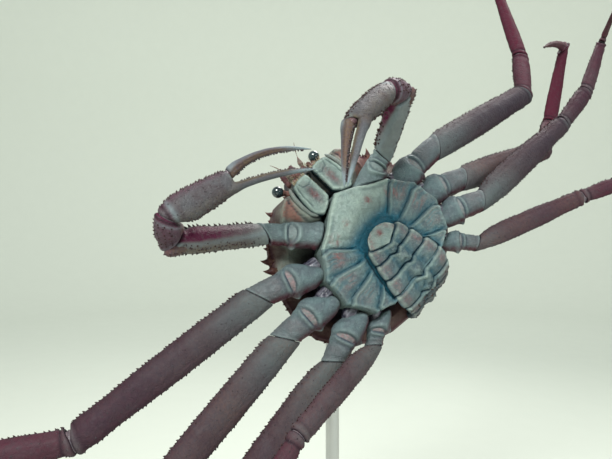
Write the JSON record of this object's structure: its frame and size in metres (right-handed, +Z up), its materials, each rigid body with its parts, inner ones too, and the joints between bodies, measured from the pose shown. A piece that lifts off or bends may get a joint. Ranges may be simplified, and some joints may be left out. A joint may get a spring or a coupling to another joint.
{
  "type": "snow crab display model",
  "caption": "Life-size still snow crab with long flattened legs, slim claws and narrow tail flap, held belly forward by a bent rod on a flat display base.",
  "frame": {"origin": "middle of the stand base's underside", "axes": "+Z up, -Y the way the belly faces, +X to the right as the belly is looked at"},
  "size_m": [0.5436, 0.3174, 0.5406],
  "materials": {
    "shell_red": "satin",
    "belly_grey": "satin",
    "leg_grey": "satin",
    "wine": "satin",
    "finger_grey": "gloss",
    "eye_black": "high gloss",
    "stand_grey": "satin"
  },
  "bodies": {
    "root": {"carapace": "shell_red", "sternum": "belly_grey", "abdomen": "belly_grey", "maxilliped_left": "belly_grey", "eye_left": "eye_black", "antenna_left": "shell_red", "claw_left_hip": "belly_grey", "claw_left_merus": "leg_grey", "claw_left_carpus": "leg_grey", "claw_left_palm": "leg_grey", "claw_left_finger": "finger_grey", "leg1_left_hip": "belly_grey", "leg1_left_merus": "leg_grey", "leg1_left_carpus": "wine", "leg1_left_propodus": "wine", "leg1_left_dactyl": "wine", "leg2_left_hip": "belly_grey", "leg2_left_merus": "leg_grey", "leg2_left_carpus": "wine", "leg2_left_propodus": "wine", "leg2_left_dactyl": "wine", "leg3_left_hip": "belly_grey", "leg3_left_merus": "leg_grey", "leg3_left_carpus": "wine", "leg3_left_propodus": "wine", "leg3_left_dactyl": "wine", "leg4_left_hip": "belly_grey", "leg4_left_merus": "leg_grey", "leg4_left_carpus": "wine", "leg4_left_propodus": "wine", "leg4_left_dactyl": "wine", "maxilliped_right": "belly_grey", "eye_right": "eye_black", "antenna_right": "shell_red", "claw_right_hip": "belly_grey", "claw_right_merus": "leg_grey", "claw_right_carpus": "leg_grey", "claw_right_palm": "leg_grey", "claw_right_finger": "finger_grey", "leg1_right_hip": "belly_grey", "leg1_right_merus": "leg_grey", "leg1_right_carpus": "wine", "leg1_right_propodus": "wine", "leg1_right_dactyl": "wine", "leg2_right_hip": "belly_grey", "leg2_right_merus": "leg_grey", "leg2_right_carpus": "wine", "leg2_right_propodus": "wine", "leg2_right_dactyl": "wine", "leg3_right_hip": "belly_grey", "leg3_right_merus": "leg_grey", "leg3_right_carpus": "wine", "leg3_right_propodus": "wine", "leg3_right_dactyl": "wine", "leg4_right_hip": "belly_grey", "leg4_right_merus": "leg_grey", "leg4_right_carpus": "wine", "leg4_right_propodus": "wine", "leg4_right_dactyl": "wine", "stand_base": "stand_grey"}
  },
  "joints": []
}
